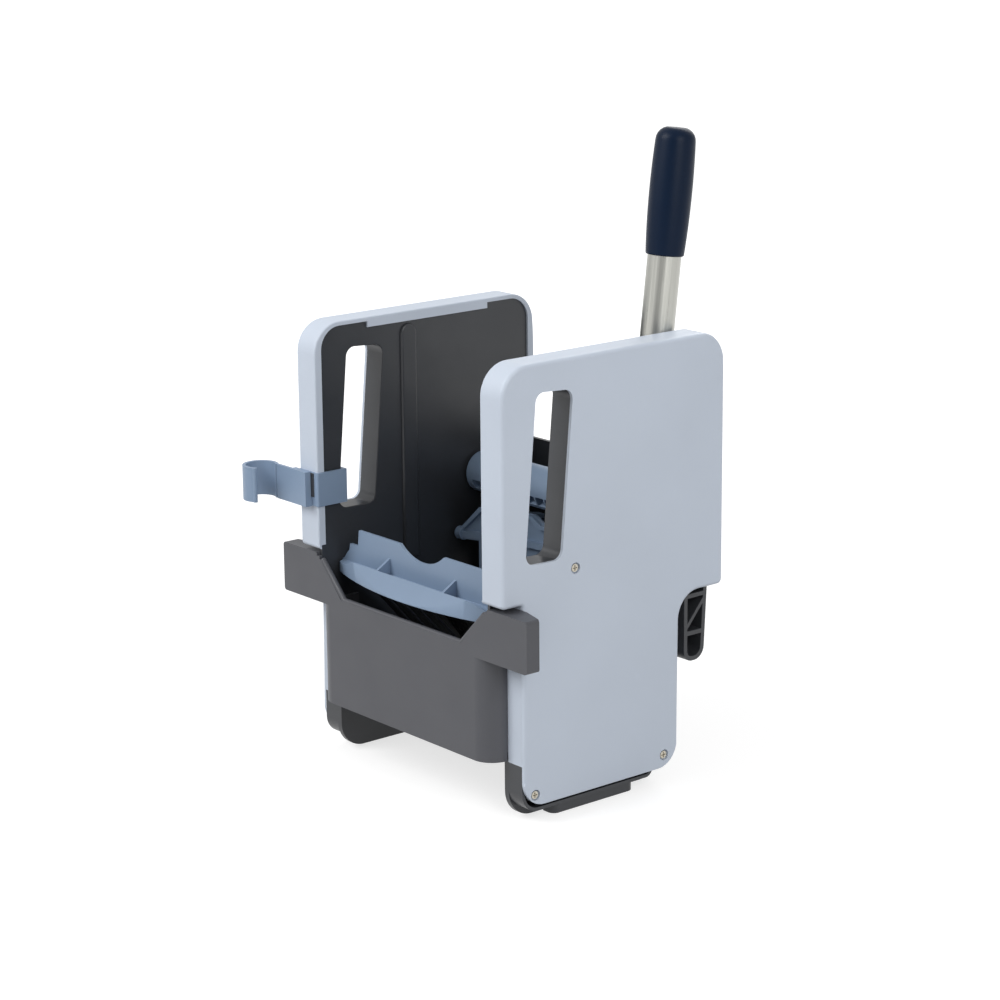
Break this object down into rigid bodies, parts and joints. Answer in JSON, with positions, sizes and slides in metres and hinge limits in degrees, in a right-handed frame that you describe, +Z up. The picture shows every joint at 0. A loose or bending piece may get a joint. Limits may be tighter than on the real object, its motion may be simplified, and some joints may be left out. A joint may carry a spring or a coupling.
{
  "type": "mop bucket lever press",
  "caption": "Lever-operated flat-mop press with side panels, wings that rest on a bucket's rim, rear hooks and a pole clip.",
  "frame": {"origin": "on the ground plane of the foot pads, midway between the two side panels and midway between the front and rear edges of their lower bodies", "axes": "+Z up, -Y towards the front with the wings and the apron, +X towards the lever's side"},
  "size_m": [0.3676, 0.2927, 0.5801],
  "materials": {
    "cover": "satin moulded plastic, pale grey-blue",
    "dark_shell": "satin moulded plastic, near black",
    "apron": "satin moulded plastic, mid grey",
    "blue_parts": "satin moulded plastic, grey-blue",
    "grip": "satin moulded plastic, navy",
    "tube": "drawn aluminium tube, fine lengthwise lines",
    "bearing": "plain bearing plastic",
    "spring": "spring wire",
    "steel": "bright steel"
  },
  "bodies": {
    "frame": {"outer_cover_left": "cover", "outer_cover_right": "cover", "inner_shell_left": "dark_shell", "inner_shell_right": "dark_shell", "foot_pad_left": "dark_shell", "foot_pad_right": "dark_shell", "front_apron": "apron", "rear_wall": "dark_shell", "strainer_floor": "dark_shell", "counter_plate": "blue_parts", "cover_screws_left": "steel", "cover_screws_right": "steel", "frame_screws_left": "steel", "frame_screws_right": "steel", "clip_clamp": "blue_parts", "pole_clip": "blue_parts", "clip_screws": "steel", "clip_stop": "dark_shell", "axle_bush_left": "bearing", "axle_bush_right": "bearing", "return_spring": "spring", "press_pivots": "steel"},
    "lever": {"drum": "blue_parts", "axle": "steel", "thrust_washers": "steel", "lever_socket": "blue_parts", "socket_bolt": "steel", "socket_nut": "steel", "lever_tube": "tube", "lever_grip": "grip", "crank_pins": "steel"},
    "press": {"press_plate": "blue_parts"}
  },
  "joints": [
    {"name": "lever_hinge", "type": "hinge", "parent": "frame", "child": "lever", "pos_m": [0, 0.078, 0.241], "axis": [-1, 0, 0], "range_deg": [0, 50], "stiffness_Nm_per_rad": 1.2, "springref_deg": -20.05},
    {"name": "press_hinge", "type": "hinge", "parent": "frame", "child": "press", "pos_m": [0, 0.067, 0.074], "axis": [1, 0, 0], "range_deg": [0, 32.6]}
  ],
  "couplings": [
    {"joint": "press_hinge", "follows": "lever_hinge", "ratio": 0.65}
  ]
}
